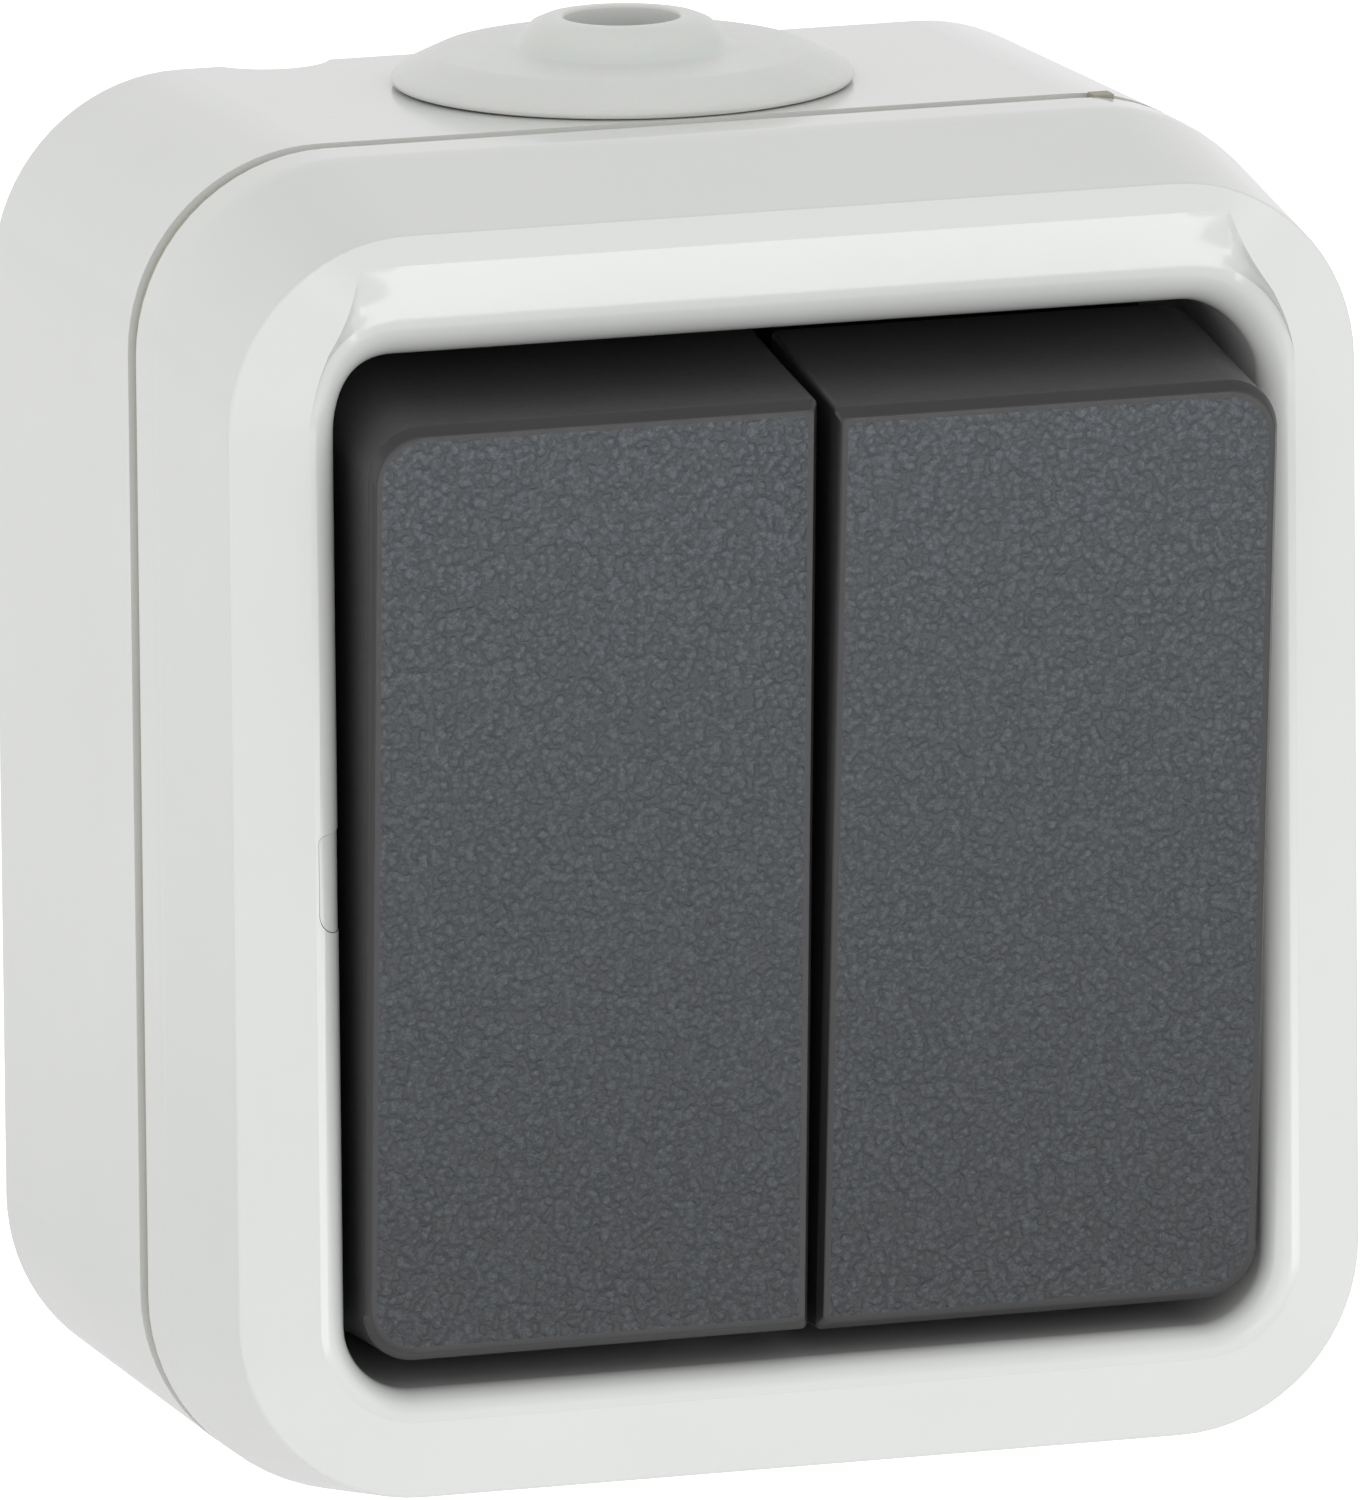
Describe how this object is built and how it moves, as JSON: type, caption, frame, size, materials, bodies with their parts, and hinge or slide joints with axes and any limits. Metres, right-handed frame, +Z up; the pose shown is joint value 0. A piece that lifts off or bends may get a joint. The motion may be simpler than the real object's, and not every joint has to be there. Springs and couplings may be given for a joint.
{
  "type": "rocker wall switch",
  "caption": "Surface-mounted splash-protected wall switch with side-by-side rockers, a sealed back box, a front cover and a cable grommet on top",
  "frame": {"origin": "centre of the flat back face, where the part meets the wall", "axes": "+Z up, -Y out of the wall toward the person, +X to that person's right"},
  "size_m": [0.066, 0.0497, 0.0787],
  "materials": {
    "housing_grey": "satin light grey moulding",
    "rocker_grey": "fine pebbled dark grey moulding",
    "gasket_beige": "soft matt sealing strip",
    "grommet_grey": "soft light grey membrane",
    "mechanism_black": "matt black moulding",
    "lever_white": "low-friction natural moulding",
    "steel": "zinc plated steel",
    "brass": "bright brass",
    "silver": "silver contact rivet"
  },
  "bodies": {
    "case": {"back_box": "housing_grey", "box_gasket": "gasket_beige", "cover_frame": "housing_grey", "release_latch": "housing_grey", "cable_grommet": "grommet_grey", "mechanism_base": "mechanism_black", "mechanism_cover": "mechanism_black", "rocker_shaft": "steel", "output_strip_left": "brass", "output_strip_right": "brass", "common_strip": "brass", "terminal_blocks": "brass", "terminal_screws": "steel", "fixing_screws": "steel", "fixed_contact_left": "silver", "fixed_contact_right": "silver"},
    "rocker_left": {"rocker_cap_left": "rocker_grey", "rocker_lever_left": "lever_white", "plunger_left": "lever_white", "snap_spring_left": "steel"},
    "seesaw_left": {"contact_seesaw_left": "brass", "moving_contact_left": "silver"},
    "rocker_right": {"rocker_cap_right": "rocker_grey", "rocker_lever_right": "lever_white", "plunger_right": "lever_white", "snap_spring_right": "steel"},
    "seesaw_right": {"contact_seesaw_right": "brass", "moving_contact_right": "silver"}
  },
  "joints": [
    {"name": "rocker_left_tilt", "type": "hinge", "parent": "case", "child": "rocker_left", "pos_m": [0, -0.035, 0], "axis": [-1, 0, 0], "range_deg": [-1.8, 8.6]},
    {"name": "rocker_right_tilt", "type": "hinge", "parent": "case", "child": "rocker_right", "pos_m": [0, -0.035, 0], "axis": [-1, 0, 0], "range_deg": [0, 10.4]},
    {"name": "seesaw_left_tilt", "type": "hinge", "parent": "case", "child": "seesaw_left", "pos_m": [0, -0.0196, 0], "axis": [-1, 0, 0], "range_deg": [-15.49, 3.25]},
    {"name": "seesaw_right_tilt", "type": "hinge", "parent": "case", "child": "seesaw_right", "pos_m": [0, -0.0196, 0], "axis": [-1, 0, 0], "range_deg": [-18.73, 0]}
  ],
  "couplings": [
    {"joint": "seesaw_left_tilt", "follows": "rocker_left_tilt", "ratio": -1.8},
    {"joint": "seesaw_right_tilt", "follows": "rocker_right_tilt", "ratio": -1.8}
  ]
}
